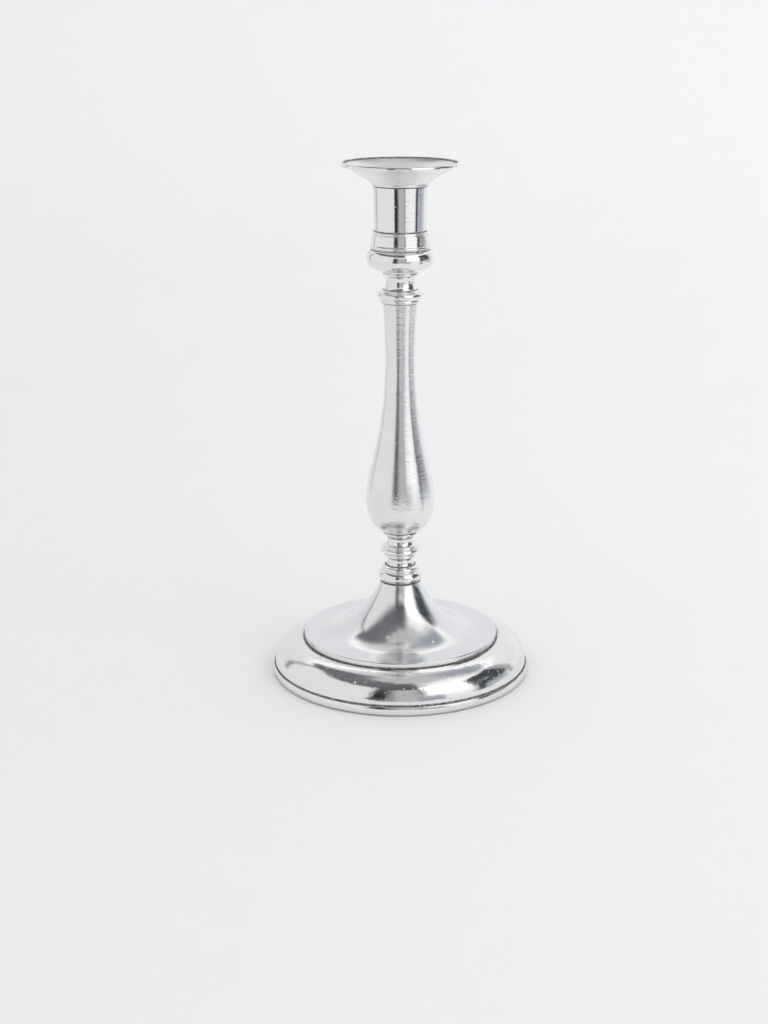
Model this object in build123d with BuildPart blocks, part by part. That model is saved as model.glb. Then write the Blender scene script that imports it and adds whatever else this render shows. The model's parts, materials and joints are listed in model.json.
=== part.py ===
"""A turned and polished metal candlestick, 280 mm tall, as an assembly of its separate pieces.

Millimetres, +Z up. The origin is the middle of the underside, on the table. Every turned piece is
an outline in the XZ plane, radius along X and height along Z, revolved about the Z axis.
"""
from build123d import *
import os

# ---------------------------------------------------------------- driving dimensions
total_height = 280.0
base_radius = 71.3
candle_bore_radius = 11.5        # takes a 22 mm dinner candle
candle_bore_depth = 23.0
gap = 0.2                        # between the lift-out nozzle and its socket, along the axis

# ---------------------------------------------------------------- tie rod and registers
rod_radius = 2.95                # M6 rod
rod_hole = 3.25
spigot_radius = 5.0
spigot_length = 1.3
socket_radius = 5.05
socket_depth = 1.5
nut_flats = 10.0
nut_height = 5.0
nut_bore = 3.0

# ---------------------------------------------------------------- heights of the joints
felt_top = 1.5
cover_top = 2.3
lip_bottom = 0.4                 # the felt stands this much proud of the metal
lip_top = 5.7
dome_seat = 5.0
plate_seat = 19.7
dome_top = 20.1                  # the edge of the foot plate stands above this
plate_top = 23.0
foot_top = 52.0
collar_top = 61.2
spool_top = 77.4
stem_bottom = 80.5
stem_top = 207.0
neck_bottom = 213.8
bowl_bottom = 224.0
band_bottom = 235.0
band_top = 244.6
tube_bottom = 233.4
tube_top = 267.8
pan_bottom = tube_top + gap
pan_throat = 269.6

# ---------------------------------------------------------------- radii of the large shells
lip_bore = 68.5
lip_ledge = 67.0
dome_radius = 70.2
dome_round = 15.0
dome_wall = 1.4
groove_radius = dome_radius - dome_round
flange_radius = 50.0
plate_radius = 53.7
stem_mouth = 6.0
tube_foot_radius = 13.7
tube_mouth_radius = 14.3
tube_bore = 12.7
band_bore = 13.8
sleeve_radius = 12.2
wire_radius = 1.15
rim_radius = 31.2
pan_edge = rim_radius - 2 * wire_radius + 0.3


def core(bottom, top, spigot=True, socket=True):
    """The rod hole of a stacked piece from its top face down, with its register steps."""
    points = []
    if socket:
        points += [(socket_radius, top), (socket_radius, top - socket_depth), (rod_hole, top - socket_depth)]
    else:
        points += [(rod_hole, top)]
    if spigot:
        foot = bottom - spigot_length
        points += [(rod_hole, foot), (spigot_radius, foot), (spigot_radius, bottom)]
    else:
        points += [(rod_hole, bottom)]
    return points


def save(piece, name):
    """Label a finished piece and write its own STEP file."""
    piece.part.label = name
    export_step(piece.part, f"parts/{name}.step")


os.makedirs("parts", exist_ok=True)

# ================================================================ base
# Felt pad: the soft disc that the candlestick stands on.
felt_radius = 67.8
felt_round = 0.4
with BuildPart() as felt_pad:
    Cylinder(felt_radius, felt_top, align=(Align.CENTER, Align.CENTER, Align.MIN))
    fillet(felt_pad.edges().sort_by(Axis.Z)[0], felt_round)
save(felt_pad, "felt_pad")

# Base cover: the thin steel disc that closes the hollow base and carries the felt.
cover_radius = lip_bore - 0.1
with BuildPart() as base_cover:
    with BuildSketch(Plane.XY.offset(felt_top)):
        Circle(cover_radius)
    extrude(amount=cover_top - felt_top)
save(base_cover, "base_cover")

# Base weight: an iron ring on the cover, chamfered to clear the dome.
weight_outer = 66.0
weight_inner = 20.0
weight_height = 6.5
weight_chamfer = 1.0
with BuildPart() as base_weight:
    with BuildSketch(Plane.XY.offset(cover_top)):
        Circle(weight_outer)
        Circle(weight_inner, mode=Mode.SUBTRACT)
    extrude(amount=weight_height)
    chamfer(base_weight.edges().group_by(Axis.Z)[-1], weight_chamfer)
save(base_weight, "base_weight")

# Lip ring: the rounded foot band, rebated for the dome above and the cover below.
with BuildPart() as lip_ring:
    with BuildSketch(Plane.XZ):
        with BuildLine():
            Line((lip_bore, lip_bottom), (base_radius - 0.7, lip_bottom))
            ThreePointArc(
                (base_radius - 0.7, lip_bottom),
                (base_radius, (lip_bottom + lip_top) / 2),
                (dome_radius + 0.3, lip_top - 0.1),
            )
            Polyline(
                (dome_radius + 0.3, lip_top - 0.1),
                (dome_radius + 0.1, lip_top - 0.3),
                (dome_radius + 0.1, dome_seat),
                (lip_ledge, dome_seat),
                (lip_ledge, cover_top),
                (lip_bore, cover_top),
                (lip_bore, lip_bottom),
            )
        make_face()
    revolve(axis=Axis.Z)
save(lip_ring, "lip_ring")

# Base dome: the spun shell with a quarter-round shoulder and a flat seat for the foot plate.
dome_spring = dome_top - dome_round
inner_round = dome_round - dome_wall
seat_under = plate_seat - dome_wall
seat_meets_round = groove_radius + (inner_round**2 - (seat_under - dome_spring) ** 2) ** 0.5
with BuildPart() as base_dome:
    with BuildSketch(Plane.XZ):
        with BuildLine():
            Line((dome_radius, dome_seat), (dome_radius, dome_spring))
            RadiusArc((dome_radius, dome_spring), (groove_radius, dome_top), -dome_round)
            Polyline(
                (groove_radius, dome_top),
                (groove_radius, plate_seat),
                (flange_radius, plate_seat),
                (flange_radius, seat_under),
                (seat_meets_round, seat_under),
            )
            RadiusArc((seat_meets_round, seat_under), (dome_radius - dome_wall, dome_spring), inner_round)
            Polyline(
                (dome_radius - dome_wall, dome_spring),
                (dome_radius - dome_wall, dome_seat),
                (dome_radius, dome_seat),
            )
        make_face()
    revolve(axis=Axis.Z)
save(base_dome, "base_dome")

# Foot plate: the flat disc that sweeps up into the hollow cone under the column.
plate_wall = 1.6
sweep_radius = 44.0              # where the flat ends and the sweep begins
cone_top_radius = 11.0
boss_bottom = foot_top - 5.0
boss_radius = 9.6
with BuildPart() as foot_plate:
    with BuildSketch(Plane.XZ):
        with BuildLine():
            Line((plate_radius, plate_seat), (plate_radius - 0.2, plate_top - 0.6))
            RadiusArc((plate_radius - 0.2, plate_top - 0.6), (plate_radius - 0.9, plate_top), -0.7)
            Line((plate_radius - 0.9, plate_top), (sweep_radius, plate_top))
            Spline(
                (sweep_radius, plate_top),
                (30.0, 27.7),
                (20.0, 37.0),
                (13.4, 46.4),
                (cone_top_radius, foot_top),
                tangents=((-1, 0), (-0.28, 1)),
                tangent_scalars=(1, 1),
            )
            Polyline(
                (cone_top_radius, foot_top),
                *core(boss_bottom, foot_top, spigot=False),
                (boss_radius, boss_bottom),
            )
            Spline(
                (boss_radius, boss_bottom),
                (18.4, 36.0),
                (29.0, 26.2),
                (sweep_radius, plate_top - plate_wall),
                tangents=((0.6, -1), (1, 0)),
                tangent_scalars=(1, 1),
            )
            Polyline(
                (sweep_radius, plate_top - plate_wall),
                (flange_radius, plate_top - plate_wall),
                (flange_radius, plate_seat),
                (plate_radius, plate_seat),
            )
        make_face()
    revolve(axis=Axis.Z)
save(foot_plate, "foot_plate")

# ================================================================ column
# Lower collar: a full round bulge with a thin ring on top.
with BuildPart() as lower_collar:
    with BuildSketch(Plane.XZ):
        with BuildLine():
            Line((spigot_radius, foot_top), (10.3, foot_top))
            Line((10.3, foot_top), (11.0, 52.4))
            ThreePointArc((11.0, 52.4), (12.1, 55.1), (10.6, 57.8))
            Line((10.6, 57.8), (9.6, 58.3))
            ThreePointArc((9.6, 58.3), (10.4, 59.5), (9.4, 60.7))
            Polyline((9.4, 60.7), (8.4, collar_top), *core(foot_top, collar_top))
        make_face()
    revolve(axis=Axis.Z)
save(lower_collar, "lower_collar")

# Lower spool: two waisted necks with a three-ring knop between them.
with BuildPart() as lower_spool:
    with BuildSketch(Plane.XZ):
        with BuildLine():
            Line((spigot_radius, collar_top), (8.0, collar_top))
            ThreePointArc((8.0, collar_top), (6.95, 63.7), (7.8, 65.9))
            ThreePointArc((7.8, 65.9), (8.9, 66.8), (8.2, 67.7))
            Line((8.2, 67.7), (9.4, 68.2))
            ThreePointArc((9.4, 68.2), (10.8, 69.8), (9.5, 71.3))
            Line((9.5, 71.3), (9.1, 71.5))
            ThreePointArc((9.1, 71.5), (9.7, 72.2), (8.9, 72.9))
            Line((8.9, 72.9), (7.9, 73.2))
            ThreePointArc((7.9, 73.2), (7.0, 75.4), (7.4, spool_top))
            Polyline((7.4, spool_top), *core(collar_top, spool_top))
        make_face()
    revolve(axis=Axis.Z)
save(lower_spool, "lower_spool")

# Stem ring: the thin ring under the baluster, with a small hollow below it.
with BuildPart() as stem_ring:
    with BuildSketch(Plane.XZ):
        with BuildLine():
            Line((spigot_radius, spool_top), (7.5, spool_top))
            ThreePointArc((7.5, spool_top), (7.9, 78.3), (8.9, 78.8))
            ThreePointArc((8.9, 78.8), (9.8, 79.6), (9.3, stem_bottom))
            Polyline((9.3, stem_bottom), *core(spool_top, stem_bottom))
        make_face()
    revolve(axis=Axis.Z)
save(stem_ring, "stem_ring")

# Stem: the hollow baluster, a slim waist that swells to a pear shape near its foot.
with BuildPart() as stem:
    with BuildSketch(Plane.XZ):
        with BuildLine():
            Line((stem_mouth, stem_bottom), (9.6, stem_bottom))
            Spline(
                (9.6, stem_bottom),
                (17.0, 88.6),
                (18.75, 98.0),
                (15.2, 119.5),
                (10.4, 144.0),
                (8.0, 176.0),
                (9.5, stem_top),
            )
            Polyline((9.5, stem_top), (stem_mouth, stem_top), (stem_mouth, stem_top - 6.0))
            Spline(
                (stem_mouth, stem_top - 6.0),
                (6.4, 176.0),
                (8.8, 144.0),
                (13.6, 119.5),
                (17.1, 98.0),
                (14.6, 89.0),
                (stem_mouth, stem_bottom + 5.0),
                tangents=((0, -1), (-1, -0.25)),
                tangent_scalars=(1, 1),
            )
            Line((stem_mouth, stem_bottom + 5.0), (stem_mouth, stem_bottom))
        make_face()
    revolve(axis=Axis.Z)
save(stem, "stem")

# Stem bushes: turned plugs that centre the open ends of the stem on the rod and its neighbours.
bush_radius = stem_mouth - 0.05
lower_bush_top = stem_bottom + 4.5
upper_bush_bottom = stem_top - 5.5
with BuildPart() as stem_bush_lower:
    with BuildSketch(Plane.XZ):
        with BuildLine():
            Polyline(
                (bush_radius, stem_bottom),
                (bush_radius, lower_bush_top),
                *core(stem_bottom, lower_bush_top, socket=False),
                (bush_radius, stem_bottom),
            )
        make_face()
    revolve(axis=Axis.Z)
save(stem_bush_lower, "stem_bush_lower")

with BuildPart() as stem_bush_upper:
    with BuildSketch(Plane.XZ):
        with BuildLine():
            Polyline(
                (bush_radius, upper_bush_bottom),
                (bush_radius, stem_top),
                *core(upper_bush_bottom, stem_top, spigot=False),
                (bush_radius, upper_bush_bottom),
            )
        make_face()
    revolve(axis=Axis.Z)
save(stem_bush_upper, "stem_bush_upper")

# Stem collar: a thin ring, an undercut torus and a second thin ring.
with BuildPart() as stem_collar:
    with BuildSketch(Plane.XZ):
        with BuildLine():
            Line((spigot_radius, stem_top), (9.8, stem_top))
            ThreePointArc((9.8, stem_top), (10.6, 207.9), (10.4, 208.7))
            Spline(
                (10.4, 208.7),
                (11.7, 209.7),
                (12.3, 211.2),
                (11.2, 212.6),
                tangents=((1, 0.3), (-1, 0.2)),
                tangent_scalars=(1, 1),
            )
            ThreePointArc((11.2, 212.6), (10.5, 213.3), (9.6, neck_bottom))
            Polyline((9.6, neck_bottom), *core(stem_top, neck_bottom))
        make_face()
    revolve(axis=Axis.Z)
save(stem_collar, "stem_collar")

# ================================================================ candle cup
# Cup neck: a waisted cove under a thin step ring.
with BuildPart() as cup_neck:
    with BuildSketch(Plane.XZ):
        with BuildLine():
            Line((spigot_radius, neck_bottom), (9.0, neck_bottom))
            ThreePointArc((9.0, neck_bottom), (7.6, 217.4), (9.0, 221.4))
            ThreePointArc((9.0, 221.4), (9.9, 222.2), (9.4, 223.0))
            Polyline((9.4, 223.0), (10.0, bowl_bottom), *core(neck_bottom, bowl_bottom))
        make_face()
    revolve(axis=Axis.Z)
save(cup_neck, "cup_neck")

# Cup bowl: the hollow bulb, with a floor for the rod nut and a ledge for the socket tube.
bowl_floor = 226.5
with BuildPart() as cup_bowl:
    with BuildSketch(Plane.XZ):
        with BuildLine():
            Line((spigot_radius, bowl_bottom), (11.0, bowl_bottom))
            Spline(
                (11.0, bowl_bottom),
                (16.6, 227.0),
                (17.9, 231.2),
                (16.0, band_bottom - 0.3),
                tangents=((1, 0.15), (-1, 0.6)),
                tangent_scalars=(1, 1),
            )
            Polyline(
                (16.0, band_bottom - 0.3),
                (15.6, band_bottom),
                (band_bore, band_bottom),
                (band_bore, tube_bottom),
                (tube_bore, tube_bottom),
                (tube_bore, 231.4),
            )
            ThreePointArc((tube_bore, 231.4), (11.8, 228.2), (9.0, bowl_floor))
            Polyline((9.0, bowl_floor), *core(bowl_bottom, bowl_floor, socket=False))
        make_face()
    revolve(axis=Axis.Z)
save(cup_bowl, "cup_bowl")

# Cup band: the plain band round the foot of the socket, between a heavy and a light ring.
with BuildPart() as cup_band:
    with BuildSketch(Plane.XZ):
        with BuildLine():
            Polyline((band_bore, band_bottom), (15.5, band_bottom), (15.5, 235.7))
            ThreePointArc((15.5, 235.7), (16.25, 236.6), (15.5, 237.5))
            Polyline((15.5, 237.5), (15.35, 237.8), (15.1, 242.8), (14.2, 243.1))
            ThreePointArc((14.2, 243.1), (14.7, 243.8), (14.2, 244.5))
            Polyline((14.2, 244.5), (band_bore, band_top), (band_bore, band_bottom))
        make_face()
    revolve(axis=Axis.Z)
save(cup_band, "cup_band")

# Socket tube: the slightly flared cylinder that receives the nozzle.
with BuildPart() as socket_tube:
    with BuildSketch(Plane.XZ):
        with BuildLine():
            Polyline(
                (tube_bore, tube_bottom),
                (tube_foot_radius, tube_bottom),
                (tube_foot_radius, band_top),
                (tube_mouth_radius, tube_top - 0.3),
                (tube_mouth_radius - 0.3, tube_top),
                (tube_bore + 0.3, tube_top),
                (tube_bore, tube_top - 0.3),
                close=True,
            )
        make_face()
    revolve(axis=Axis.Z)
save(socket_tube, "socket_tube")

# ================================================================ lift-out nozzle
# Drip pan: an ogee dish on a thin foot ring.
with BuildPart() as drip_pan:
    with BuildSketch(Plane.XZ):
        with BuildLine():
            Line((sleeve_radius, pan_bottom), (14.6, pan_bottom))
            ThreePointArc((14.6, pan_bottom), (15.1, 268.6), (15.0, 269.2))
            Spline(
                (15.0, 269.2),
                (18.4, 271.5),
                (23.6, 274.5),
                (pan_edge, 278.5),
                tangents=((1, 0.5), (0.8, 1)),
                tangent_scalars=(1, 1),
            )
            Line((pan_edge, 278.5), (pan_edge, 279.6))
            Spline(
                (pan_edge, 279.6),
                (23.2, 275.8),
                (17.6, 272.7),
                (sleeve_radius, pan_throat),
                tangents=((-0.8, -1), (-1, -0.7)),
                tangent_scalars=(1, 1),
            )
            Line((sleeve_radius, pan_throat), (sleeve_radius, pan_bottom))
        make_face()
    revolve(axis=Axis.Z)
save(drip_pan, "drip_pan")

# Rim wire: the half-round bead along the edge of the pan.
wire_centre = total_height - wire_radius
wire_half_flat = (wire_radius**2 - (rim_radius - wire_radius - pan_edge) ** 2) ** 0.5
with BuildPart() as rim_wire:
    with BuildSketch(Plane.XZ):
        with BuildLine():
            ThreePointArc(
                (pan_edge, wire_centre - wire_half_flat),
                (rim_radius, wire_centre),
                (pan_edge, wire_centre + wire_half_flat),
            )
            Line((pan_edge, wire_centre + wire_half_flat), (pan_edge, wire_centre - wire_half_flat))
        make_face()
    revolve(axis=Axis.Z)
save(rim_wire, "rim_wire")

# Nozzle sleeve: the drawn cup, soldered into the pan, that grips the candle.
sleeve_floor = pan_throat - candle_bore_depth
with BuildPart() as nozzle_sleeve:
    with BuildSketch(Plane.XZ):
        with BuildLine():
            Polyline(
                (0, sleeve_floor - 0.8),
                (sleeve_radius - 0.8, sleeve_floor - 0.8),
                (sleeve_radius, sleeve_floor),
                (sleeve_radius, pan_throat),
                (candle_bore_radius, pan_throat),
                (candle_bore_radius, sleeve_floor),
                (0, sleeve_floor),
                close=True,
            )
        make_face()
    revolve(axis=Axis.Z)
save(nozzle_sleeve, "nozzle_sleeve")

# ================================================================ fastenings
washer_radius = 8.0
washer_height = 1.6
cup_washer_height = 1.2
lock_radius = 5.4
lock_height = 1.6
lock_slit = 0.8
rod_bottom = 33.0
rod_top = 235.0
rod_chamfer = 0.5

# Tie rod: the rod that draws the whole stack together.
with BuildPart() as tie_rod:
    with BuildSketch(Plane.XY.offset(rod_bottom)):
        Circle(rod_radius)
    extrude(amount=rod_top - rod_bottom)
    chamfer(tie_rod.edges().filter_by(GeomType.CIRCLE), rod_chamfer)
save(tie_rod, "tie_rod")

# Base washer, lock washer and nut, under the boss of the foot plate.
washer_bottom = boss_bottom - washer_height
lock_bottom = washer_bottom - lock_height
with BuildPart() as base_washer:
    with BuildSketch(Plane.XY.offset(washer_bottom)):
        Circle(washer_radius)
        Circle(rod_hole, mode=Mode.SUBTRACT)
    extrude(amount=washer_height)
save(base_washer, "base_washer")

with BuildPart() as base_lock_washer:
    with BuildSketch(Plane.XY.offset(lock_bottom)):
        Circle(lock_radius)
        Circle(rod_hole, mode=Mode.SUBTRACT)
        with Locations((lock_radius, 0)):
            Rectangle(lock_radius, lock_slit, mode=Mode.SUBTRACT)
    extrude(amount=lock_height)
save(base_lock_washer, "base_lock_washer")

with BuildPart() as base_nut:
    with BuildSketch(Plane.XY.offset(lock_bottom - nut_height)):
        RegularPolygon(nut_flats / 2, 6, major_radius=False)
        Circle(nut_bore, mode=Mode.SUBTRACT)
    extrude(amount=nut_height)
save(base_nut, "base_nut")

# Cup washer and nut, on the floor of the bowl.
with BuildPart() as cup_washer:
    with BuildSketch(Plane.XY.offset(bowl_floor)):
        Circle(washer_radius)
        Circle(rod_hole, mode=Mode.SUBTRACT)
    extrude(amount=cup_washer_height)
save(cup_washer, "cup_washer")

with BuildPart() as cup_nut:
    with BuildSketch(Plane.XY.offset(bowl_floor + cup_washer_height)):
        RegularPolygon(nut_flats / 2, 6, major_radius=False)
        Circle(nut_bore, mode=Mode.SUBTRACT)
    extrude(amount=nut_height)
save(cup_nut, "cup_nut")
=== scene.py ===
"""The looks of the turned candlestick: every turned piece respun finely from its CAD outline, with
lathe-brushed, satin and hand-polished metal, in a pale studio of boards, a window and dark gaps.

Metres, +Z up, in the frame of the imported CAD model. The front of the object faces -Y, and a
bearing is in degrees from the front, positive to the right.
"""
import json
import math

import bmesh
import bpy
import numpy as np
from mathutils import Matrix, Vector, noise


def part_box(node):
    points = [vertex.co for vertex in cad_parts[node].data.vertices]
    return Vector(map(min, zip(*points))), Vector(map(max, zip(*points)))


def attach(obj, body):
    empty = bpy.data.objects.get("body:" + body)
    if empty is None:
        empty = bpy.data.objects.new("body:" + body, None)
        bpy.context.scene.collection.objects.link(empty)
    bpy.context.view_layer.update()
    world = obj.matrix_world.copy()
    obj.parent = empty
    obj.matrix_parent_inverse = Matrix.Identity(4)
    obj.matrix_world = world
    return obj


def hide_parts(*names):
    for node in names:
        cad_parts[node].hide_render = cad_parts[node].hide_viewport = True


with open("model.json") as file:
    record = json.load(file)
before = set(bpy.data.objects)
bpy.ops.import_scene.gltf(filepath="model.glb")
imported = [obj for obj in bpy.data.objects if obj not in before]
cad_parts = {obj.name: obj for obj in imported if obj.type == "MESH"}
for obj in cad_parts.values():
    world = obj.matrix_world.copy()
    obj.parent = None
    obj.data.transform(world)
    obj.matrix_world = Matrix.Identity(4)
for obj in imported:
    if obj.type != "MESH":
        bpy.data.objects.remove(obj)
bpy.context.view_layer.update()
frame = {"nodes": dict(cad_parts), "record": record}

scene = bpy.context.scene
scene.view_settings.view_transform = "Standard"

MM = 0.001
WELD = 0.002 * MM                # points nearer than this are one point
STRAIGHT = 1e-4                  # sine of a turn too small to count as a bend
SHARP = math.radians(22)         # a larger turn in an outline is a corner
EDGE = 0.14 * MM                 # softening of a corner
ARC_STEP = math.radians(5)       # largest turn between two rings of a curve
MOST_CUT = 0.3                   # a softened corner takes no more of a short run than this share
GUARD = 1.6                      # where the point beside a softened corner lies, in cuts from it
CROWDED = 0.15                   # points of a run nearer to each other than this many cuts are one
ROUNDING = 1e-12                 # slack in comparing lengths

# ---------------------------------------------------------------- from the frame
body_of = {}
for body, members in frame["record"]["behaviour"]["bodies"].items():
    for node in members:
        body_of[node] = body
plate_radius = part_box("foot_plate")[1].x
dome_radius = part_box("base_dome")[1].x
shoulder = 0.5 * (plate_radius + dome_radius)    # midway across the dome outside the plate


def place_at(bearing, distance):
    """The x and y of a point at that bearing and distance from the axis."""
    a = math.radians(bearing)
    return distance * math.sin(a), -distance * math.cos(a)


# ================================================================ outlines
def sliced(cut, normal, **options):
    """Cuts a mesh by the plane through the origin with that normal, and returns what lies in it."""
    everything = cut.verts[:] + cut.edges[:] + cut.faces[:]
    found = bmesh.ops.bisect_plane(
        cut, geom=everything, dist=WELD, plane_co=(0, 0, 0), plane_no=normal, **options
    )
    return found["geom_cut"]


def in_order(links):
    """Linked points from end to end, or all round where there is no end, and whether there is none."""
    ends = [v for v, near in links.items() if len(near) == 1]
    walk = [ends[0] if ends else next(iter(links))]
    seen = set(walk)
    while True:
        onward = [v for v in links[walk[-1]] if v not in seen]
        if not onward:
            return walk, not ends
        walk.append(onward[0])
        seen.add(onward[0])


def half_section(node):
    """The outline of a turned CAD node as (radius, height) points in order, and whether it is closed."""
    cut = bmesh.new()
    cut.from_mesh(frame["nodes"][node].data)
    bmesh.ops.remove_doubles(cut, verts=cut.verts, dist=WELD)
    sliced(cut, (1, 0, 0), clear_inner=True)
    links = {}
    for edge in sliced(cut, (0, 1, 0)):
        if isinstance(edge, bmesh.types.BMEdge) and max(v.co.x for v in edge.verts) > WELD:
            a, b = edge.verts
            links.setdefault(a, []).append(b)
            links.setdefault(b, []).append(a)
    walk, closed = in_order(links)
    points = np.array([(v.co.x, v.co.z) for v in walk])
    cut.free()
    x, z = points[:, 0], points[:, 1]
    if (x * np.roll(z, -1) - np.roll(x, -1) * z).sum() < 0:
        points = points[::-1]
    return without_straight_points(points, closed), closed


def without_straight_points(points, closed):
    """Drops the points in the middle of straight runs."""
    kept = []
    for i, p in enumerate(points):
        if closed or 0 < i < len(points) - 1:
            before, after = p - points[i - 1], points[(i + 1) % len(points)] - p
            area = abs(before[0] * after[1] - before[1] * after[0])
            if area < STRAIGHT * np.linalg.norm(before) * np.linalg.norm(after):
                continue
        kept.append(p)
    return np.array(kept)


def unit(v):
    length = np.linalg.norm(v)
    return v / length if length else v


def turn(a, b):
    """The angle between two directions."""
    return math.acos(max(-1.0, min(1.0, float(a @ b))))


def mirrored(direction, chord):
    """The direction at the other end of an arc, given the one at this end and the chord."""
    return 2 * (chord @ direction) * chord - direction


def curve(a, b, start, end, step):
    """Points from a up to just before b, on the curve that leaves along start and arrives along end."""
    length = np.linalg.norm(b - a)
    parts = max(1, math.ceil(turn(start, end) / ARC_STEP), math.ceil(length / step))
    points = []
    for t in np.arange(parts) / parts:
        at_a, leaving = 2 * t**3 - 3 * t**2 + 1, t**3 - 2 * t**2 + t
        at_b, arriving = -2 * t**3 + 3 * t**2, t**3 - t**2
        points.append(at_a * a + leaving * start * length + at_b * b + arriving * end * length)
    return points


def smooth_runs(points, closed, step):
    """The outline as runs between its corners: curves through the points of small turns."""
    n = len(points)
    spans = n if closed else n - 1
    chord = [unit(points[(i + 1) % n] - points[i]) for i in range(spans)]
    tangent = [unit(points[(i + 1) % n] - points[i - 1]) for i in range(n)]
    corner = []
    for i in range(n):
        is_end = not closed and i in (0, n - 1)
        corner.append(is_end or turn(chord[i - 1], chord[i % spans]) > SHARP)
    runs, run = [], []
    first = corner.index(True)
    for k in range(spans):
        i = (first + k) % n
        j = (i + 1) % n
        start = chord[i] if corner[i] else tangent[i]
        end = chord[i] if corner[j] else tangent[j]
        if corner[i] and not corner[j]:
            start = mirrored(end, chord[i])
        if corner[j] and not corner[i]:
            end = mirrored(start, chord[i])
        run.extend(curve(points[i], points[j], start, end, step))
        if corner[j]:
            run.append(points[j])
            runs.append(np.array(run))
            run = []
    return runs


def trimmed(run, at_start, at_end):
    """A run shortened at its corners by the edge softening, with a guard point beside each cut."""
    step = np.linalg.norm(np.diff(run, axis=0), axis=1)
    along = np.concatenate([[0], np.cumsum(step)])
    total = along[-1]
    cut = min(EDGE, MOST_CUT * total)
    guard = min(GUARD * cut, 0.5 * total)
    marks = list(along)
    low, high = 0.0, total
    if at_start:
        low = cut
        marks += [cut, guard]
    if at_end:
        high = total - cut
        marks += [high, total - guard]
    marks = sorted(m for m in marks if low - ROUNDING <= m <= high + ROUNDING)
    kept = [marks[0]]
    for m in marks[1:]:
        if m - kept[-1] > CROWDED * cut:
            kept.append(m)
    kept[-1] = high
    return np.stack([np.interp(kept, along, run[:, 0]), np.interp(kept, along, run[:, 1])], axis=1)


def fine_outline(points, closed, step):
    """The outline as a smooth curve, finely divided, with softened corners."""
    runs = smooth_runs(points, closed, step)
    last = len(runs) - 1
    line = []
    for k, run in enumerate(runs):
        line.extend(trimmed(run, closed or k > 0, closed or k < last))
        if closed or k < last:
            following = (k + 1) % len(runs)
            before = trimmed(run, True, True)[-1]
            after = trimmed(runs[following], True, closed or following < last)[0]
            line.append(0.25 * before + 0.5 * run[-1] + 0.25 * after)
    return np.array(line)


# ================================================================ spinning
WAVE_SHIFT = 7.3                 # keeps the pattern of one wave apart from that of the next


def near_others(node, points, reach, outlines):
    """How close each outline point is to another piece: 1 where they touch, 0 beyond reach."""
    nearest = np.full(len(points), math.inf)
    for other, (line, closed) in outlines.items():
        if other == node:
            continue
        ends = np.roll(line, -1, axis=0)
        if not closed:
            line, ends = line[:-1], ends[:-1]
        d = ends - line
        size = (d**2).sum(1)
        t = (((points[:, None] - line[None]) * d[None]).sum(2) / size[None]).clip(0, 1)
        gap = np.linalg.norm(points[:, None] - (line[None] + t[..., None] * d[None]), axis=2)
        nearest = np.minimum(nearest, gap.min(1))
    share = (1 - nearest / reach).clip(0, 1)
    return share * share * (3 - 2 * share)


def outward_directions(line, closed):
    """The direction out of the piece at each point of its outline."""
    following, before = np.roll(line, -1, axis=0), np.roll(line, 1, axis=0)
    if not closed:
        following[-1], before[0] = line[-1], line[0]
    along = following - before
    outward = np.stack([along[:, 1], -along[:, 0]], axis=1)
    return outward / np.linalg.norm(outward, axis=1)[:, None]


def wear(x, y, z, waves):
    """How far the surface is worn in at a point. waves holds (depth, wavelength) pairs."""
    total = 0.0
    for k, (depth, length) in enumerate(waves):
        place = (x / length + WAVE_SHIFT * k, y / length, z / length)
        total += depth * (0.5 + 0.5 * noise.noise(place))
    return total


def rings(line, outward, painted_crease_shade, segments, waves):
    """The vertices of an outline swept round Z, each one's painted crease shade, and their numbers ring
    by ring.
    """
    angle = np.arange(segments) * 2 * math.pi / segments
    circle = np.stack([np.cos(angle), np.sin(angle)], axis=1)
    verts, shade, index = [], [], []
    for (r, z), (out_r, out_z), crease_shade in zip(line, outward, painted_crease_shade):
        if r < WELD:
            index.append([len(verts)] * segments)
            verts.append((0.0, 0.0, z))
            shade.append(crease_shade)
            continue
        index.append(list(range(len(verts), len(verts) + segments)))
        for c, s in circle:
            worn = wear(r * c, r * s, z, waves)
            verts.append(((r - worn * out_r) * c, (r - worn * out_r) * s, z - worn * out_z))
            shade.append(crease_shade)
    return verts, shade, index


def spin(node, outlines, segments, step, waves, reach):
    """A turned piece: the CAD node's outline made fine and swept round Z, then worn uneven by hand."""
    coarse, closed = outlines[node]
    line = fine_outline(coarse, closed, step)
    # painted shade: points near another piece are marked for darkening in the creases
    painted_crease_shade = near_others(node, line, reach, outlines)
    verts, shade, index = rings(line, outward_directions(line, closed), painted_crease_shade, segments, waves)
    faces = []
    for i in range(len(line) if closed else len(line) - 1):
        low, high = index[i], index[(i + 1) % len(line)]
        for k in range(segments):
            m = (k + 1) % segments
            corners = [low[k], low[m], high[m], high[k]]
            faces.append([v for j, v in enumerate(corners) if v != corners[j - 1]])
    mesh = bpy.data.meshes.new(node + "_turned")
    mesh.from_pydata(verts, [], faces)
    mesh.polygons.foreach_set("use_smooth", [True] * len(mesh.polygons))
    attribute = mesh.attributes.new("painted_crease_shade", "FLOAT", "POINT")
    attribute.data.foreach_set("value", np.array(shade, np.float32))
    mesh.update()
    piece = bpy.data.objects.new(node + "_turned", mesh)
    scene.collection.objects.link(piece)
    return piece


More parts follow.
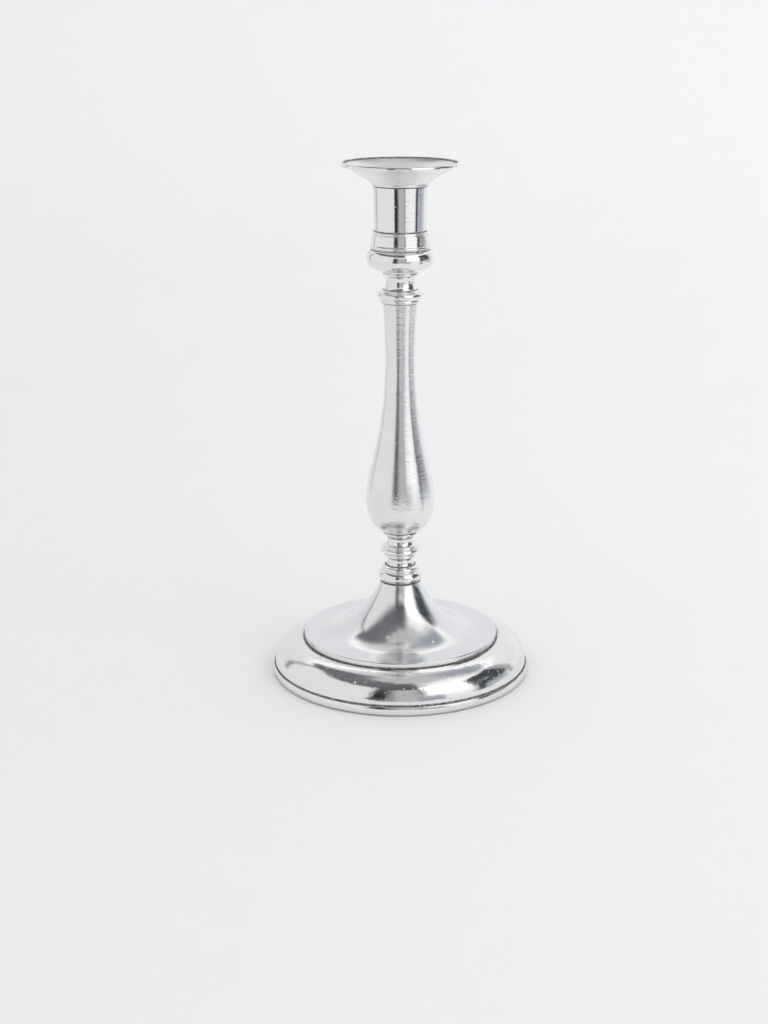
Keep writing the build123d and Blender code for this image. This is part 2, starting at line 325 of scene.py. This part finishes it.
# ================================================================ materials
class Finish:
    """A material being put together: one shader and short calls for the nodes that feed it."""

    def __init__(self, name, shader="ShaderNodeBsdfPrincipled"):
        self.material = bpy.data.materials.new(name)
        self.material.use_nodes = True
        self.tree = self.material.node_tree
        self.tree.nodes.clear()
        self.output = self.tree.nodes.new("ShaderNodeOutputMaterial")
        self.shader = self.tree.nodes.new(shader)
        self.tree.links.new(self.shader.outputs[0], self.output.inputs["Surface"])
        self.place = self.tree.nodes.new("ShaderNodeTexCoord").outputs["Object"]

    def put(self, value, socket):
        """Links an output to a socket, or sets the socket to a plain value."""
        if isinstance(value, bpy.types.NodeSocket):
            self.tree.links.new(value, socket)
        else:
            socket.default_value = value

    def fill(self, node, **values):
        """Puts values in a node's sockets by name: from_min becomes From Min."""
        names = {s.name.lower().replace(" ", "_"): s for s in node.inputs if s.enabled}
        for name, value in values.items():
            self.put(value, names[name])

    def set(self, **values):
        """Sets or links the shader's own sockets."""
        self.fill(self.shader, **values)

    def math(self, operation, *values):
        node = self.tree.nodes.new("ShaderNodeMath")
        node.operation = operation
        for value, socket in zip(values, node.inputs):
            self.put(value, socket)
        return node.outputs[0]

    def vector(self, operation, *values):
        node = self.tree.nodes.new("ShaderNodeVectorMath")
        node.operation = operation
        for value, socket in zip(values, node.inputs):
            self.put(value, socket)
        return node.outputs["Value" if operation in ("LENGTH", "DISTANCE") else "Vector"]

    def noise(self, vector, size, detail=2.0, roughness=0.5):
        """Cloudy noise whose largest features are about that size."""
        node = self.tree.nodes.new("ShaderNodeTexNoise")
        self.fill(node, vector=vector, scale=1 / size, detail=detail, roughness=roughness)
        return node.outputs["Fac"]

    def cells(self, vector, size):
        """Distance to the nearest of a scatter of points, and two random numbers for each of them."""
        node = self.tree.nodes.new("ShaderNodeTexVoronoi")
        self.fill(node, vector=vector, scale=1 / size)
        split = self.tree.nodes.new("ShaderNodeSeparateColor")
        self.put(node.outputs["Color"], split.inputs[0])
        return node.outputs["Distance"], split.outputs[0], split.outputs[1]

    def span(self, value, low, high, to_low=0.0, to_high=1.0):
        """A smooth step from one value to another as the input goes from low to high."""
        node = self.tree.nodes.new("ShaderNodeMapRange")
        node.interpolation_type = "SMOOTHSTEP"
        self.fill(node, value=value, from_min=low, from_max=high, to_min=to_low, to_max=to_high)
        return node.outputs["Result"]

    def ramp(self, value, low, high):
        """A straight rise from 0 to 1 as the input goes from low to high."""
        node = self.tree.nodes.new("ShaderNodeMapRange")
        self.fill(node, value=value, from_min=low, from_max=high)
        return node.outputs["Result"]

    def swing(self, value, depth):
        """A noise turned into a change to either side of nothing, depth from end to end."""
        return self.math("MULTIPLY", self.math("SUBTRACT", value, 0.5), depth)

    def blend(self, share, a, b):
        node = self.tree.nodes.new("ShaderNodeMix")
        node.data_type = "RGBA"
        self.put(share, node.inputs["Factor"])
        colours = [s for s in node.inputs if s.type == "RGBA"]
        self.put(a, colours[0])
        self.put(b, colours[1])
        return next(s for s in node.outputs if s.type == "RGBA")

    def attribute(self, name):
        node = self.tree.nodes.new("ShaderNodeAttribute")
        node.attribute_name = name
        return node.outputs["Fac"]

    def join(self, x, y, z=0.0):
        node = self.tree.nodes.new("ShaderNodeCombineXYZ")
        for value, socket in zip((x, y, z), node.inputs):
            self.put(value, socket)
        return node.outputs[0]

    def parts(self):
        """Radius from the axis, height, and the two coordinates across, as outputs."""
        flat = self.vector("MULTIPLY", self.place, (1, 1, 0))
        split = self.tree.nodes.new("ShaderNodeSeparateXYZ")
        self.put(self.place, split.inputs[0])
        return self.vector("LENGTH", flat), split.outputs["Z"], split.outputs["X"], split.outputs["Y"]

    def bearing(self, x, y):
        """The bearing of a place, in radians."""
        return self.math("ARCTAN2", x, self.math("MULTIPLY", y, -1.0))

    def lathe(self, drift=0.03):
        """Coordinates in which a noise makes lines round the axis, slowly changing along their way."""
        radius, height, x, y = self.parts()
        return self.join(radius, height, self.math("MULTIPLY", self.math("ADD", x, y), drift))

    def bump(self, height, distance, normal=None):
        node = self.tree.nodes.new("ShaderNodeBump")
        self.fill(node, strength=1.0, distance=distance, height=height)
        if normal is not None:
            self.put(normal, node.inputs["Normal"])
        return node.outputs["Normal"]

    def mask(self, share):
        """Shows the shader only as far as share says, and nothing elsewhere."""
        clear = self.tree.nodes.new("ShaderNodeBsdfTransparent")
        mix = self.tree.nodes.new("ShaderNodeMixShader")
        self.put(share, mix.inputs[0])
        self.tree.links.new(clear.outputs[0], mix.inputs[1])
        self.tree.links.new(self.shader.outputs[0], mix.inputs[2])
        self.tree.links.new(mix.outputs[0], self.output.inputs["Surface"])

    def tangent(self):
        node = self.tree.nodes.new("ShaderNodeTangent")
        node.direction_type = "RADIAL"
        node.axis = "Z"
        return node.outputs[0]


METAL = (0.862, 0.862, 0.858, 1)
WARM_METAL = (0.875, 0.87, 0.856, 1)
COOL_METAL = (0.825, 0.832, 0.838, 1)
TARNISH = (0.33, 0.31, 0.29, 1)
# near-black painted into the creases where pieces meet, as painted shade
CREASE_SHADE_COLOUR = (0.035, 0.031, 0.027, 1)

CLOUD_SIZE = 26 * MM             # broad change in the polish
SMUDGE_SIZE = 3.2 * MM           # small change in the polish
CREASE_SHADE_PATCH = 1.1 * MM
CREASE_SHADE_STEP = 0.05 * MM            # how far the painted crease shade sits sunk into the surface
PORE_SPACING = 2.3 * MM
WIDE_LINES = 0.28                # width of the fine lathe lines over that of the wide ones
PEEL_SIZES = (1.5 * MM, 6.5 * MM, 0.7 * MM)
CHATTER_SIZE = 0.9 * MM


def crease_shade_mask(f):
    """Painted shade in the creases where pieces meet, in uneven patches, from the mesh's
    painted_crease_shade attribute.
    """
    patchy = f.span(f.noise(f.place, CREASE_SHADE_PATCH, 3.0, 0.6), 0.36, 0.6, 0.55, 1.0)
    return f.math("MULTIPLY", f.span(f.attribute("painted_crease_shade"), 0.08, 0.6), patchy)


def pores(f, share):
    """Casting pores: 1 in the middle of one and 0 outside. share is how many places have one."""
    distance, chance, random_size = f.cells(f.place, PORE_SPACING)
    chosen = f.span(chance, 1 - share, 1 - share + 0.02)
    size = f.span(random_size, 0.0, 1.0, 0.06, 0.2)
    return f.math("MULTIPLY", f.math("SUBTRACT", 1.0, f.span(distance, 0.0, size)), chosen)


def hand_polish(f, depth, normal):
    """The fine unevenness left by polishing by hand: dimples, slow waves and a trace of grit."""
    dimples, waves, grit = PEEL_SIZES
    normal = f.bump(f.noise(f.place, dimples, 3.0, 0.62), depth, normal)
    normal = f.bump(f.noise(f.place, waves, 1.0), 1.6 * depth, normal)
    return f.bump(f.noise(f.place, grit, 2.0, 0.7), 0.3 * depth, normal)


def metal(
    name, colour, rough, cloud, lines, line_depth,
    aniso=0.0, peel=0.0, chatter=0.0, pore_share=0.0, pore_depth=0.0, extra=None,
):
    """Bare aluminium. rough is its mean roughness and cloud how much that wanders over the surface;
    lines and line_depth are the width and depth of the lathe lines; peel is the depth of the fine
    unevenness left by hand polishing, chatter that of short turning marks; pore_share of all places
    have a casting pore, up to pore_depth deep. extra adds what only one piece has."""
    f = Finish(name)
    lathe = f.lathe()
    broad = f.noise(f.place, CLOUD_SIZE, 3.0, 0.55)
    small = f.noise(f.place, SMUDGE_SIZE, 4.0, 0.6)
    fine_lines = f.noise(lathe, lines, 3.0, 0.65)
    wide_lines = f.noise(lathe, lines / WIDE_LINES, 2.0, 0.5)
    crease_shade = crease_shade_mask(f)
    pore = pores(f, pore_share)

    base = f.blend(f.span(broad, 0.35, 0.75, 0.0, 0.06), colour, TARNISH)
    base = f.blend(f.math("MULTIPLY", pore, 0.6), base, TARNISH)
    # painted shade in the creases where pieces meet: near-black, rougher and less metallic
    base = f.blend(f.math("MULTIPLY", crease_shade, 0.96), base, CREASE_SHADE_COLOUR)

    level = f.math("ADD", rough - cloud, f.math("MULTIPLY", broad, 1.3 * cloud))
    level = f.math("ADD", level, f.math("MULTIPLY", small, 0.7 * cloud))
    level = f.math("ADD", level, f.swing(fine_lines, 0.16 * rough))
    level = f.math("ADD", level, f.math("MULTIPLY", crease_shade, 0.45))
    metallic = f.math("SUBTRACT", 1.0, f.math("MULTIPLY", crease_shade, 0.9))

    normal = f.bump(fine_lines, line_depth)
    normal = f.bump(wide_lines, 1.6 * line_depth, normal)
    if peel:
        normal = hand_polish(f, peel, normal)
    if chatter:
        marks = f.vector("MULTIPLY", f.place, (0.3, 0.3, 1))
        normal = f.bump(f.noise(marks, CHATTER_SIZE, 2.0, 0.6), chatter, normal)
    if pore_share:
        normal = f.bump(f.math("SUBTRACT", 1.0, pore), pore_depth, normal)
    normal = f.bump(f.math("SUBTRACT", 1.0, crease_shade), CREASE_SHADE_STEP, normal)
    if extra is not None:
        level, normal = extra(f, level, normal)
    f.set(base_color=base, metallic=metallic, roughness=level, normal=normal)
    f.set(anisotropic=aniso, anisotropic_rotation=0.25, tangent=f.tangent())
    return f.material


# knocks: bearing, then radius, height, width and depth in mm; a negative depth is a raised speck
DOME_KNOCKS = [                  # their radius counts from the shoulder
    (-40.0, 6.4, 12.9, 0.68, 0.30),
    (-21.5, 4.4, 15.7, 1.05, 0.42),
    (-20.3, 4.8, 15.2, 0.60, -0.30),
    (-38.9, 1.7, 18.1, 0.68, 0.24),
    (31.0, 5.0, 15.0, 0.75, 0.30),
    (45.6, 4.4, 15.7, 0.60, 0.36),
    (51.5, 6.4, 12.9, 0.60, 0.30),
    (34.5, 7.7, 9.8, 0.60, 0.24),
    (-12.5, 3.5, 16.6, 0.60, 0.24),
]
PLATE_KNOCKS = [
    (-47.4, 29.0, 28.2, 0.75, 0.24),
    (32.0, 33.7, 25.6, 0.98, -0.24),
    (83.9, 39.5, 23.6, 0.60, 0.24),
    (-13.6, 29.0, 28.2, 0.90, -0.30),
    (-9.0, 31.0, 27.1, 0.52, -0.24),
    (27.3, 28.4, 28.6, 0.75, -0.24),
]


def knocked(f, normal, knocks, from_radius=0.0):
    """The normal with small knocks in it, their radius counted from from_radius."""
    for bearing, radius, height, width, depth in knocks:
        centre = (*place_at(bearing, from_radius + radius * MM), height * MM)
        near = f.vector("DISTANCE", f.place, centre)
        normal = f.bump(f.span(near, 0.0, width * MM), depth * MM, normal)
    return normal


def dome_details(f, level, normal):
    """The dome has knocks along its shoulder."""
    return level, knocked(f, normal, DOME_KNOCKS, shoulder)


def plate_details(f, level, normal):
    """The foot plate is smoother on its cone, where it was brushed aslant, and has a few knocks."""
    cone_end, flat_start = 0.42 * plate_radius, 0.66 * plate_radius
    cone_scale = 0.016           # metres of stroke pattern to a radian round the cone
    stroke_width, stroke_depth = 0.75 * MM, 0.06 * MM
    stretch = 0.12               # width of a stroke over its length
    radius, height, x, y = f.parts()
    on_cone = f.span(radius, cone_end, flat_start, 1.0, 0.0)
    level = f.math("ADD", level, f.math("MULTIPLY", on_cone, -0.045))
    way_round = f.math("MULTIPLY", f.bearing(x, y), cone_scale)
    across = f.math("ADD", way_round, height)
    along = f.math("MULTIPLY", f.math("SUBTRACT", way_round, height), stretch)
    strokes = f.noise(f.join(across, along), stroke_width, 3.0, 0.6)
    normal = f.bump(strokes, f.math("MULTIPLY", on_cone, stroke_depth), normal)
    level = f.math("ADD", level, f.swing(strokes, f.math("MULTIPLY", on_cone, 0.22)))
    return level, knocked(f, normal, PLATE_KNOCKS)


polished = metal(
    "polished_metal", WARM_METAL, rough=0.085, cloud=0.03, lines=0.35 * MM, line_depth=0.008 * MM,
    peel=0.03 * MM, pore_share=0.3, pore_depth=0.09 * MM,
)
rim_polish = metal(
    "rim_polish", METAL, rough=0.05, cloud=0.02, lines=0.35 * MM, line_depth=0.003 * MM,
    peel=0.015 * MM, pore_share=0.12, pore_depth=0.05 * MM,
)
dome_polish = metal(
    "dome_polish", METAL, rough=0.07, cloud=0.03, lines=0.4 * MM, line_depth=0.006 * MM,
    peel=0.055 * MM, pore_share=0.62, pore_depth=0.24 * MM, extra=dome_details,
)
brushed = metal(
    "brushed_metal", METAL, rough=0.2, cloud=0.06, lines=1.0 * MM, line_depth=0.09 * MM,
    aniso=0.2, chatter=0.12 * MM, pore_share=0.2, pore_depth=0.08 * MM,
)
tube_brushed = metal(
    "tube_brushed_metal", METAL, rough=0.075, cloud=0.03, lines=0.8 * MM, line_depth=0.03 * MM,
    aniso=0.2, chatter=0.05 * MM, pore_share=0.25, pore_depth=0.09 * MM,
)
satin = metal(
    "satin_metal", COOL_METAL, rough=0.16, cloud=0.05, lines=0.5 * MM, line_depth=0.012 * MM,
    aniso=0.1, peel=0.03 * MM, pore_share=0.16, pore_depth=0.09 * MM, extra=plate_details,
)
pan_satin = metal(
    "pan_metal", WARM_METAL, rough=0.32, cloud=0.06, lines=0.7 * MM, line_depth=0.05 * MM,
    aniso=0.4, pore_share=0.1, pore_depth=0.05 * MM,
)


def plain_metal(name, colour, stain, rough, grain):
    """Unpolished metal for the fastenings and the weight: grain, stains and turning marks."""
    f = Finish(name)
    broad = f.noise(f.place, 7 * MM, 4.0, 0.6)
    fine = f.noise(f.place, grain, 3.0, 0.6)
    lines = f.noise(f.lathe(), 0.3 * MM)
    base = f.blend(f.span(broad, 0.35, 0.7), colour, stain)
    normal = f.bump(lines, 0.008 * MM, f.bump(fine, 0.03 * MM))
    level = f.math("ADD", rough, f.swing(fine, 0.3))
    f.set(base_color=base, metallic=1.0, roughness=level, normal=normal)
    return f.material


steel = plain_metal("steel_hardware", (0.55, 0.55, 0.56, 1), (0.40, 0.39, 0.38, 1), 0.38, 0.5 * MM)
brass = plain_metal("brass_bush", (0.72, 0.55, 0.27, 1), (0.50, 0.36, 0.17, 1), 0.34, 0.5 * MM)
iron = plain_metal("iron_weight", (0.17, 0.165, 0.16, 1), (0.23, 0.16, 0.12, 1), 0.62, 0.9 * MM)


def felt_material():
    """Dark pressed wool: tufts with fine hairs over them."""
    f = Finish("felt")
    tufts = f.noise(f.place, 1.6 * MM, 5.0, 0.7)
    broad = f.noise(f.place, 14 * MM)
    hairs = f.noise(f.vector("MULTIPLY", f.place, (1, 0.25, 1)), 0.35 * MM)
    dark, light = (0.035, 0.04, 0.045, 1), (0.095, 0.10, 0.108, 1)
    share = f.math("ADD", f.math("MULTIPLY", tufts, 0.7), f.math("MULTIPLY", broad, 0.3))
    base = f.blend(f.span(share, 0.3, 0.7), dark, light)
    normal = f.bump(hairs, 0.06 * MM, f.bump(tufts, 0.25 * MM))
    f.set(base_color=base, roughness=f.span(tufts, 0.2, 0.8, 0.88, 0.98), normal=normal)
    f.set(sheen_weight=0.35, sheen_roughness=0.5)
    return f.material


felt = felt_material()

# ================================================================ pieces
# how far a surface is worn in, and over what length
POLISH_WAVES = ((0.012 * MM, 9 * MM),)
DOME_WAVES = ((0.10 * MM, 34 * MM), (0.022 * MM, 9 * MM))
LIP_WAVES = ((0.16 * MM, 40 * MM), (0.05 * MM, 11 * MM))
STEM_WAVES = ((0.03 * MM, 30 * MM), (0.006 * MM, 7 * MM))
PLATE_WAVES = ((0.08 * MM, 38 * MM), (0.016 * MM, 12 * MM))
FELT_WAVES = ((0.25 * MM, 3 * MM), (0.2 * MM, 1.4 * MM))

# how far the painted shade in the creases reaches
USUAL_REACH = 0.45 * MM
REACH = {
    "base_dome": 1.3 * MM,
    "foot_plate": 1.2 * MM,
    "rim_wire": 1.2 * MM,
    "lip_ring": 0.9 * MM,
    "lower_collar": 0.9 * MM,
    "drip_pan": 0.9 * MM,
    "lower_spool": 0.7 * MM,
    "cup_band": 0.6 * MM,
    "socket_tube": 0.6 * MM,
}

# node: (material, record slot, segments round, step along the outline, waves)
FINISHES = {
    "lip_ring": (dome_polish, "polished_metal", 360, 0.8 * MM, LIP_WAVES),
    "base_dome": (dome_polish, "polished_metal", 360, 0.7 * MM, DOME_WAVES),
    "foot_plate": (satin, "satin_metal", 288, 0.9 * MM, PLATE_WAVES),
    "lower_collar": (polished, "polished_metal", 160, 0.5 * MM, POLISH_WAVES),
    "lower_spool": (polished, "polished_metal", 160, 0.5 * MM, POLISH_WAVES),
    "stem_ring": (polished, "polished_metal", 160, 0.5 * MM, POLISH_WAVES),
    "stem": (brushed, "brushed_metal", 224, 0.9 * MM, STEM_WAVES),
    "stem_collar": (polished, "polished_metal", 160, 0.5 * MM, POLISH_WAVES),
    "cup_neck": (polished, "polished_metal", 160, 0.5 * MM, POLISH_WAVES),
    "cup_bowl": (polished, "polished_metal", 192, 0.5 * MM, POLISH_WAVES),
    "cup_band": (polished, "polished_metal", 192, 0.5 * MM, POLISH_WAVES),
    "socket_tube": (tube_brushed, "brushed_metal", 192, 0.8 * MM, POLISH_WAVES),
    "drip_pan": (pan_satin, "polished_metal", 256, 0.6 * MM, POLISH_WAVES),
    "rim_wire": (rim_polish, "polished_metal", 320, 0.4 * MM, POLISH_WAVES),
    "nozzle_sleeve": (satin, "satin_metal", 160, 1.0 * MM, POLISH_WAVES),
    "felt_pad": (felt, "felt", 256, 1.2 * MM, FELT_WAVES),
}
outlines = {node: half_section(node) for node in FINISHES}
for node, (finish, slot, segments, step, waves) in FINISHES.items():
    piece = spin(node, outlines, segments, step, waves, REACH.get(node, USUAL_REACH))
    piece.data.materials.append(finish)
    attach(piece, body_of[node])
    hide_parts(node)

# CAD nodes whose own shape stays
KEPT = {
    "base_cover": steel,
    "tie_rod": steel,
    "base_nut": steel,
    "base_lock_washer": steel,
    "base_washer": steel,
    "cup_nut": steel,
    "cup_washer": steel,
    "stem_bush_lower": brass,
    "stem_bush_upper": brass,
    "base_weight": iron,
}
for node, finish in KEPT.items():
    shown = frame["nodes"][node]
    shown.data.materials.clear()
    shown.data.materials.append(finish)


# ================================================================ studio
NEUTRAL = (1.0, 1.0, 1.0)
PAPER = (1.0, 0.997, 1.005)
COOL = (0.95, 1.0, 1.14)
BLUE = (0.93, 1.0, 1.18)
DUSK = (0.97, 1.0, 1.07)
WARM = (1.0, 0.99, 0.98)

CARD_COLUMNS = 24
MOTTLE_SIZE = 1 / 9              # of the cloudiness of some cards
NEAR, FAR = 0.47, 0.92           # the table's front edge, and the boards and the window beyond it
CEILING = 1.35
FLOOR = 0.002                    # just over the paper
LAYER = 0.002                    # between cards that overlap, or a few times this


def grey(level, tint=NEUTRAL):
    """A linear colour for a display level from 0 to 255."""
    return [((level / 255) ** 2.2) * t for t in tint]


def stage_object(name, verts, faces, material, glossy_only=False):
    """A part of the studio. With glossy_only it shows in reflections and nowhere else."""
    mesh = bpy.data.meshes.new(name)
    mesh.from_pydata(verts, [], faces)
    mesh.polygons.foreach_set("use_smooth", [True] * len(mesh.polygons))
    mesh.materials.append(material)
    made = bpy.data.objects.new(name, mesh)
    scene.collection.objects.link(made)
    if glossy_only:
        made.visible_camera = False
        made.visible_diffuse = False
        made.visible_transmission = False
        made.visible_volume_scatter = False
        made.visible_shadow = False
    return made


def glow(name, axis, bearings, ends, levels, tint, side, soft, mottle):
    """Light from a card, graded from end to end along its height or its radius, with soft edges."""
    left, right = bearings
    start, end = ends
    f = Finish(name, "ShaderNodeEmission")
    radius, height, x, y = f.parts()
    measure = {"height": height, "radius": radius}[axis]
    low, high = (grey(level, tint) for level in levels)
    f.set(color=f.blend(f.ramp(measure, start, end), (*low, 1), (*high, 1)))
    if mottle:
        f.set(strength=f.span(f.noise(f.place, MOTTLE_SIZE), 0.3, 0.7, 1 - mottle, 1 + mottle))
    at_start = f.span(measure, start, start + soft[0])
    at_end = f.span(measure, end - soft[1], end, 1.0, 0.0)
    share = f.math("MULTIPLY", at_start, at_end)
    if right - left < 360:
        bearing = f.math("DEGREES", f.bearing(x, y))
        at_left = f.span(bearing, left, left + side)
        at_right = f.span(bearing, right - side, right, 1.0, 0.0)
        share = f.math("MULTIPLY", share, f.math("MULTIPLY", at_left, at_right))
    f.mask(share)
    return f.material


def card(name, bearings, column, material):
    """A card seen only in reflections. column gives the two ends of its strip at a bearing."""
    left, right = bearings
    verts, faces = [], []
    for i in range(CARD_COLUMNS + 1):
        verts += column(left + (right - left) * i / CARD_COLUMNS)
        if i:
            k = 2 * i
            faces.append((k - 2, k, k + 1, k - 1))
    return stage_object(name, verts, faces, material, glossy_only=True)


def standing_card(
    name, bearings, distance, heights, levels, tint=NEUTRAL, side=1.0, soft=(0.002, 0.05), mottle=0.0
):
    """A curved upright card. levels are its display levels at the bottom and the top; side, in degrees,
    and soft, in metres at the bottom and the top, are how far its edges fade."""
    def column(bearing):
        x, y = place_at(bearing, distance)
        return [(x, y, heights[0]), (x, y, heights[1])]
    light = glow(name, "height", bearings, heights, levels, tint, side, soft, mottle)
    return card(name, bearings, column, light)


def flat_card(
    name, bearings, radii, height, levels, tint=NEUTRAL, side=1.0, soft=(0.12, 0.1), mottle=0.0
):
    """A level card, a sector of a ring. levels and soft go from its inner to its outer edge."""
    def column(bearing):
        return [(*place_at(bearing, radii[1]), height), (*place_at(bearing, radii[0]), height)]
    light = glow(name, "radius", bearings, radii, levels, tint, side, soft, mottle)
    return card(name, bearings, column, light)


# a pale board to the left, with thin dark lines where it and the room behind end
standing_card("left_board", (-119.5, -24.5), FAR, (0.0, 1.06), (236, 236), PAPER)
standing_card("left_line", (-124, -119), FAR, (0.0, 1.06), (105, 105))
standing_card("right_line", (113, 119), FAR, (0.0, 0.9), (140, 140), side=2.0, soft=(0.002, 0.1))

# in front: a dark gap beside the board, a strip of wall, and the window with its frame
standing_card(
    "dark_gap", (-25.5, -10), NEAR, (0.065, 0.50), (34, 88), side=1.2, soft=(0.045, 0.05), mottle=0.15
)
standing_card(
    "gap_low", (-30, -11), NEAR - LAYER, (0.02, 0.105), (96, 44), side=3.0, soft=(0.025, 0.035)
)
standing_card(
    "gap_foot", (-25, -8), NEAR + 2 * LAYER, (0.0, 0.12), (150, 150), side=6.0, soft=(0.01, 0.04)
)
standing_card(
    "frame_foot", (13, 41), NEAR, (0.0, 0.18), (165, 175), COOL,
    side=8.0, soft=(0.01, 0.08), mottle=0.15,
)
standing_card(
    "gap_edge", (-12, -4), NEAR - 2 * LAYER, (0.0, 0.44), (140, 150), side=3.0, soft=(0.01, 0.06)
)
standing_card(
    "room_wall", (-11, 17), NEAR - LAYER, (0.0, 0.44), (188, 190), WARM,
    side=1.5, soft=(0.01, 0.06), mottle=0.06,
)
standing_card(
    "window_frame", (14, 23), NEAR, (0.0, 0.50), (158, 120), COOL,
    side=3.0, soft=(0.01, 0.06), mottle=0.12,
)
standing_card("window", (19, 78), FAR + 5 * LAYER, (0.0, 1.34), (250, 335), side=6.0, soft=(0.25, 0.2))

# the shaded corner to the right of the window
standing_card("right_low", (62, 114), FAR, (0.0, 0.20), (186, 176), COOL, side=12.0, soft=(0.002, 0.06))
standing_card(
    "right_shade", (67, 114), FAR - 5 * LAYER, (0.12, 0.98), (84, 72), BLUE,
    side=5.0, soft=(0.12, 0.1), mottle=0.5,
)
standing_card(
    "right_post", (69, 81), FAR - 10 * LAYER, (0.0, 0.30), (82, 82), BLUE,
    side=2.0, soft=(0.002, 0.1), mottle=0.3,
)
standing_card(
    "pale_shelf", (72, 92), FAR - 15 * LAYER, (0.38, 0.47), (170, 160), BLUE,
    side=5.0, soft=(0.04, 0.04), mottle=0.2,
)
flat_card(
    "table_shade", (68, 90), (0.30, 0.64), FLOOR, (140, 140), BLUE,
    side=6.0, soft=(0.12, 0.12), mottle=0.2,
)
flat_card(
    "floor_shade", (84, 132), (0.62, 1.10), FLOOR, (182, 182), DUSK,
    side=14.0, soft=(0.12, 0.12), mottle=0.1,
)

# the dark ceiling of the room in front and to the left, and the pale one elsewhere
flat_card("ceiling_front", (-22, 27), (0.38, 1.44), CEILING, (110, 88), DUSK, side=8.0, mottle=0.18)
flat_card(
    "ceiling_corner", (-72, -10), (0.26, 1.44), CEILING + 2 * LAYER, (122, 98), DUSK,
    side=8.0, mottle=0.18,
)
flat_card(
    "ceiling_left", (-147, -54), (0.26, 1.44), CEILING + LAYER, (122, 108), DUSK,
    side=10.0, soft=(0.14, 0.1), mottle=0.15,
)
flat_card(
    "window_top", (22, 100), (0.50, 1.60), CEILING - LAYER, (245, 290), side=20.0, soft=(0.2, 0.2)
)
flat_card(
    "dim_ceiling", (96, 168), (0.36, 1.40), CEILING, (172, 160), COOL,
    side=24.0, soft=(0.15, 0.3), mottle=0.15,
)
flat_card("overhead", (-180, 180), (0.0, 1.30), CEILING + 5 * LAYER, (188, 230), soft=(0.0001, 0.3))


def sweep_profile():
    """The outline of the pale sweep as (radius, height): a flat floor, a quarter round and a wall."""
    flat, bend, wall, steps = 1.7, 1.2, 1.2, 16
    profile = [(0.3, 0.0), (0.8, 0.0), (1.3, 0.0)]
    for i in range(steps + 1):
        a = math.radians(90 * i / steps)
        profile.append((flat + bend * math.sin(a), bend * (1 - math.cos(a))))
    return profile + [(flat + bend, bend + wall)]


def sweep_paper():
    """Pale paper with painted light and shade: its colour is lighter to the back and to the right, with
    a faint unevenness of its own tone.
    """
    painted_light_to_back, painted_light_to_right, cloud = 0.47, 0.65, 0.06      # how much each of them lightens the paper: the first two as painted light, the last as the paper's own tone
    front, back = -0.6, 2.6
    middle, most_aside = 1.2, 0.22                   # near the axis the paper has no light or dark side
    f = Finish("sweep_paper")
    radius, _, x, y = f.parts()
    tone = f.noise(f.place, 0.4, 3.0)
    aside = f.math("DIVIDE", x, f.math("ADD", radius, middle))
    aside = f.math("MAXIMUM", f.math("MINIMUM", aside, most_aside), -most_aside)
    # painted light: the paper's colour is graded lighter towards the back and towards the right
    share = f.math("ADD", 0.36, f.math("MULTIPLY", f.ramp(y, front, back), painted_light_to_back))
    share = f.math("ADD", share, f.math("MULTIPLY", aside, painted_light_to_right))
    share = f.math("ADD", share, f.math("MULTIPLY", tone, cloud))
    base = f.blend(share, (0.66, 0.664, 0.672, 1), (0.92, 0.925, 0.935, 1))
    normal = f.bump(f.noise(f.place, 0.8 * MM), 0.01 * MM)
    f.set(base_color=base, roughness=f.span(tone, 0, 1, 0.75, 0.85), normal=normal)
    return f.material


def sweep():
    """The floor, which rises smoothly on every side."""
    segments = 96
    profile = sweep_profile()
    verts = [(0, 0, 0)]
    for r, z in profile:
        for k in range(segments):
            a = 2 * math.pi * k / segments
            verts.append((r * math.cos(a), r * math.sin(a), z))
    faces = [(0, 1 + k, 1 + (k + 1) % segments) for k in range(segments)]
    for i in range(len(profile) - 1):
        low, high = 1 + i * segments, 1 + (i + 1) * segments
        for k in range(segments):
            m = (k + 1) % segments
            faces.append((low + k, high + k, high + m, low + m))
    return stage_object("sweep", verts, faces, sweep_paper())


sweep()

# ================================================================ light
AIR_COLOUR, AIR_STRENGTH = (1.0, 0.998, 1.0, 1), 1.17
world = bpy.data.worlds.new("studio_air")
world.use_nodes = True
scene.world = world
background = next(n for n in world.node_tree.nodes if n.type == "BACKGROUND")
background.inputs["Color"].default_value = AIR_COLOUR
background.inputs["Strength"].default_value = AIR_STRENGTH

KEY_BEARING, KEY_DISTANCE, KEY_HEIGHT = 52.0, 2.1, 1.9
KEY_SIZE = 1.5
KEY_WATTS = 9.0
key_data = bpy.data.lights.new("window_light", "AREA")
key_data.shape = "RECTANGLE"
key_data.size, key_data.size_y = KEY_SIZE, KEY_SIZE
key_data.energy = KEY_WATTS
key_data.color = WARM
key = bpy.data.objects.new("window_light", key_data)
key.location = (*place_at(KEY_BEARING, KEY_DISTANCE), KEY_HEIGHT)
key.rotation_mode = "QUATERNION"
key.rotation_quaternion = (-key.location).to_track_quat("-Z", "Y")
key.visible_glossy = False
key.visible_camera = False
scene.collection.objects.link(key)

# ================================================================ camera
CAMERA_DISTANCE, CAMERA_HEIGHT = 0.893, 0.362
CAMERA_PITCH = 16.89             # degrees below the horizon
CAMERA_LENS, CAMERA_SENSOR = 59.77, 36.0         # mm
CAMERA_SHIFT = -0.0159           # the object stands a little right of the photograph's middle
camera_data = bpy.data.cameras.new("camera")
camera_data.lens = CAMERA_LENS
camera_data.sensor_width = CAMERA_SENSOR
camera_data.shift_x = CAMERA_SHIFT
camera_data.clip_end = 50.0
camera = bpy.data.objects.new("camera", camera_data)
camera.location = (0.0, -CAMERA_DISTANCE, CAMERA_HEIGHT)
camera.rotation_euler = (math.radians(90 - CAMERA_PITCH), 0.0, 0.0)
scene.collection.objects.link(camera)
scene.camera = camera
